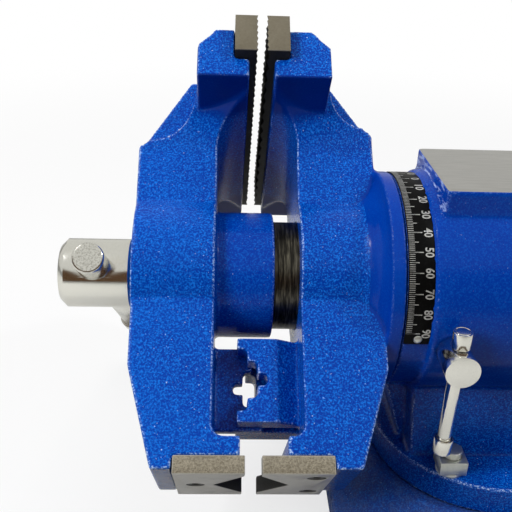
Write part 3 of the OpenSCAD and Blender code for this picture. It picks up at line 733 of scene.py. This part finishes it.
def scale_numbers():
    """The strip's numbers in tens, their tops towards the anvil, wrapped round the strip."""
    joined = bmesh.new()
    for side in (-1, 1):
        for tens in range(1 if side < 0 else 0, 10):
            letters = bpy.data.curves.new("number", "FONT")
            letters.body = str(tens * 10)
            letters.align_x = "CENTER"
            letters.align_y = "CENTER"
            letters.offset = DIGIT_BOLD
            letters.resolution_u = 4
            typed = bpy.data.objects.new("number", letters)
            bpy.context.scene.collection.objects.link(typed)
            flat = worked_mesh(typed)
            bpy.data.objects.remove(typed)
            points = [v.co.copy() for v in flat.vertices]
            low = Vector([min(p[i] for p in points) for i in range(3)])
            high = Vector([max(p[i] for p in points) for i in range(3)])
            digits = len(letters.body)
            for vertex in flat.vertices:
                run = ((vertex.co.x - low.x) / (high.x - low.x) - 0.5) * DIGIT_WIDE * digits
                rise = (vertex.co.y - low.y) / (high.y - low.y) * DIGIT_TALL
                angle = side * math.radians(tens * 10) + run / SCALE_R
                reach = SCALE_R + DIGIT_LIFT
                vertex.co = (
                    SCALE_X0 + DIGIT_IN + rise,
                    -reach * math.sin(angle),
                    JAW_LINE.z + reach * math.cos(angle),
                )
            joined.from_mesh(flat)
            bpy.data.meshes.remove(flat)
    mesh = bpy.data.meshes.new("scale_numbers")
    bmesh.ops.recalc_face_normals(joined, faces=joined.faces)
    joined.to_mesh(mesh)
    joined.free()
    piece = linked("scale_numbers", mesh, MARKS)
    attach(piece, "turret")


scale_numbers()


# studio

LAMPS_AIM = (-0.10, 0.0, 0.13)
FLOOR_GAP = 0.0002


def seen_directly(f):
    """1 for what the camera sees, also through a clear body; 0 for light that falls on the object."""
    camera = f.node("ShaderNodeLightPath", out="Is Camera Ray")
    clear = f.node("ShaderNodeLightPath", out="Is Transmission Ray")
    return camera.most(clear)


def pale_floor():
    """A floor that is white to the camera and keeps a soft shadow round the base."""
    f = finish("pale_floor")
    seen = seen_directly(f)
    mirrored = f.node("ShaderNodeLightPath", out="Is Glossy Ray")
    reach = f.node("ShaderNodeVectorMath", {"operation": "LENGTH"}, {0: f.place()}, out="Value")
    colour = f.mix(seen, f.mix(mirrored, (0.09, 0.09, 0.10), (0.72, 0.72, 0.69)), (0.9, 0.9, 0.9))
    matt = f.node("ShaderNodeBsdfPrincipled", None, {
        "Base Color": colour, "Roughness": 0.9, "Specular IOR Level": 0.0})
    glow = f.node("ShaderNodeEmission", None, {"Color": (1, 1, 1, 1), "Strength": 1.0})
    share = seen * f.step(reach, 0.25, 1.2, 0.72, 1.0)
    f.surface(f.node("ShaderNodeMixShader", None, {0: share, 1: matt, 2: glow}))
    mesh = bpy.data.meshes.new("floor")
    side = 6.0
    corners = [(-side, -side, 0), (side, -side, 0), (side, side, 0), (-side, side, 0)]
    mesh.from_pydata(corners, [], [(0, 1, 2, 3)])
    floor = linked("floor", mesh, f.owner)
    floor.location.z = -FLOOR_GAP


def studio_world():
    """Even pale light, white where the camera looks past the floor."""
    f = Finish(bpy.data.worlds.new("studio"), "ShaderNodeOutputWorld")
    _, y, z = f.axes(f.node("ShaderNodeTexCoord", out="Generated"))
    room = f.step(z, -0.14, -0.10) * f.step(z, 0.52, 0.60, 1.0, 0.0) * f.step(y, -0.3, 0.0, 1.0, 0.0)
    dim = f.node("ShaderNodeBackground", None, {"Color": (1, 1, 1, 1), "Strength": 0.20})
    shown = f.mix(room, (0.70, 0.70, 0.67), (0.10, 0.055, 0.028))
    mirrored = f.node("ShaderNodeBackground", None, {"Color": shown, "Strength": 1.0})
    white = f.node("ShaderNodeBackground", None, {"Color": (1, 1, 1, 1), "Strength": 1.0})
    gloss = f.node("ShaderNodeLightPath", out="Is Glossy Ray")
    around = f.node("ShaderNodeMixShader", None, {0: gloss, 1: dim, 2: mirrored})
    seen = seen_directly(f)
    shown_or_lit = f.node("ShaderNodeMixShader", None, {0: seen, 1: around, 2: white})
    bpy.context.scene.world = f.surface(shown_or_lit)


def soft_box(name, place, size, watts, mirrored=False):
    """A lamp aimed at the vise; only the small ones are mirrored in gloss."""
    lamp = bpy.data.lights.new(name, "AREA")
    lamp.shape = "RECTANGLE"
    lamp.size, lamp.size_y = size
    lamp.energy = watts
    holder = bpy.data.objects.new(name, lamp)
    bpy.context.scene.collection.objects.link(holder)
    holder.visible_glossy = mirrored
    holder.location = place
    holder.rotation_euler = (Vector(LAMPS_AIM) - Vector(place)).to_track_quat("-Z", "Y").to_euler()


def photo_camera():
    """The camera fitted to the photograph, with its slight roll."""
    lens = bpy.data.cameras.new("camera")
    lens.sensor_fit = "HORIZONTAL"
    lens.sensor_width = 36.0
    lens.lens = 52.73
    lens.clip_start = 0.01
    camera = bpy.data.objects.new("camera", lens)
    bpy.context.scene.collection.objects.link(camera)
    forward = Vector((0.0429, 0.8940, -0.4459)).normalized()
    right = Vector((0.9989, -0.0309, 0.0341))
    right = (right - forward * right.dot(forward)).normalized()
    up = right.cross(forward)
    stand = Matrix.Translation((-0.1502, -0.3467, 0.3201))
    aim = Matrix((right, up, -forward)).transposed().to_4x4()
    camera.matrix_world = stand @ aim
    bpy.context.scene.camera = camera


pale_floor()
studio_world()
soft_box("key_box", (-0.95, -0.60, 0.85), (0.5, 0.5), 10.0)
soft_box("fill_box", (0.75, -0.45, 0.80), (0.6, 0.6), 3.0)
soft_box("top_box", (-0.15, 0.60, 1.0), (0.8, 0.5), 4.0)
soft_box("spark_left", (-0.77, -0.14, 1.02), (0.05, 0.05), 2.0, True)
soft_box("spark_right", (0.62, -0.13, 0.95), (0.05, 0.05), 2.2, True)
photo_camera()

bpy.context.scene.view_settings.view_transform = "Standard"
